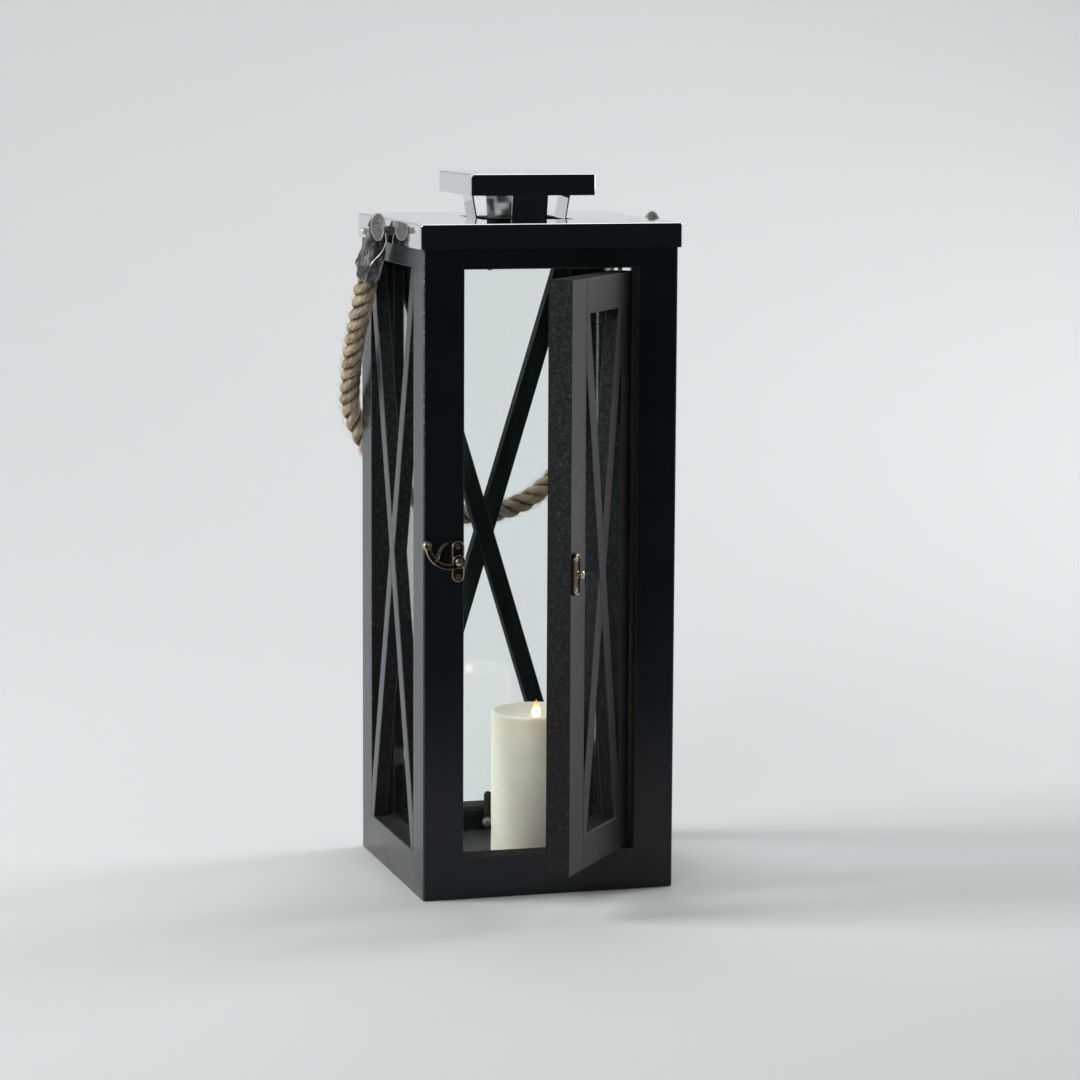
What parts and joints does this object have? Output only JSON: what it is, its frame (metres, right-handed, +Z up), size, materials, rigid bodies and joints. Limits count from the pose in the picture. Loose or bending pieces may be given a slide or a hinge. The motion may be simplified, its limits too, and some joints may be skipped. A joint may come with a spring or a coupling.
{
  "type": "candle lantern",
  "caption": "Tall square black wooden candle lantern with crossed slats and glass, a hinged latched door, a mirror steel roof with a raised vented cap, a rope handle and a pillar candle.",
  "frame": {"origin": "centre of the square base, on the surface that the lantern stands on", "axes": "+Z up; the door faces -Y and is hinged on the +X side; the rope handle hangs behind, on the +Y side"},
  "size_m": [0.2088, 0.2749, 0.469],
  "materials": {
    "black_board": "satin black paint over smooth fibreboard",
    "floor_board": "matt dark grey paint",
    "clear_glass": "clear polished",
    "dark_clip": "dark oxide",
    "bright_steel": "bright zinc",
    "mirror_steel": "mirror polished",
    "aged_brass": "antique, worn bright on the edges",
    "aged_ferrule": "aged, scuffed",
    "jute_rope": "natural twisted jute",
    "candle_wax": "ivory wax",
    "burnt_wick": "burnt cotton"
  },
  "bodies": {
    "case": {"front_stile_left": "black_board", "front_stile_right": "black_board", "front_rail_top": "black_board", "front_rail_bottom": "black_board", "back_stile_left": "black_board", "back_stile_right": "black_board", "back_rail_top": "black_board", "back_rail_bottom": "black_board", "left_stile_front": "black_board", "left_stile_back": "black_board", "left_rail_top": "black_board", "left_rail_bottom": "black_board", "right_stile_front": "black_board", "right_stile_back": "black_board", "right_rail_top": "black_board", "right_rail_bottom": "black_board", "back_slat_rising": "black_board", "back_slat_falling": "black_board", "left_slat_rising": "black_board", "left_slat_falling": "black_board", "right_slat_rising": "black_board", "right_slat_falling": "black_board", "back_glass": "clear_glass", "left_glass": "clear_glass", "right_glass": "clear_glass", "glass_clips": "dark_clip", "glass_clip_screws": "bright_steel", "floor_board": "floor_board", "roof_lid": "mirror_steel", "roof_cap": "mirror_steel", "cap_legs": "mirror_steel", "door_pin_top": "bright_steel", "door_pin_bottom": "bright_steel", "hook_plate": "aged_brass", "hook_plate_screws": "aged_brass", "hook_rivet": "aged_brass", "handle_bolt_left": "bright_steel", "handle_bolt_right": "bright_steel", "handle_spacer_left": "bright_steel", "handle_spacer_right": "bright_steel"},
    "door": {"door_stile_hinge": "black_board", "door_stile_free": "black_board", "door_rail_top": "black_board", "door_rail_bottom": "black_board", "door_slat_rising": "black_board", "door_slat_falling": "black_board", "door_glass": "clear_glass", "door_glass_clips": "dark_clip", "door_clip_screws": "bright_steel", "catch_plate": "aged_brass", "catch_plate_screws": "aged_brass", "catch_post": "aged_brass"},
    "hook": {"latch_hook": "aged_brass"},
    "handle": {"ferrule_left": "aged_ferrule", "ferrule_right": "aged_ferrule", "handle_rope": "jute_rope"},
    "candle": {"candle": "candle_wax", "candle_wick": "burnt_wick"}
  },
  "joints": [
    {"name": "door_swing", "type": "hinge", "parent": "case", "child": "door", "pos_m": [0.048, -0.077, 0.219], "axis": [0, 0, 1], "range_deg": [-52, 48]},
    {"name": "hook_swing", "type": "hinge", "parent": "case", "child": "hook", "pos_m": [-0.0626, -0.0895, 0.223], "axis": [0, 1, 0], "range_deg": [-70, 171]},
    {"name": "handle_swing", "type": "hinge", "parent": "case", "child": "handle", "pos_m": [0, 0, 0.431], "axis": [1, 0, 0], "range_deg": [0, 240]},
    {"name": "candle_lift", "type": "slide", "parent": "case", "child": "candle", "axis": [0, 0, 1], "range_m": [0, 0.1]}
  ]
}
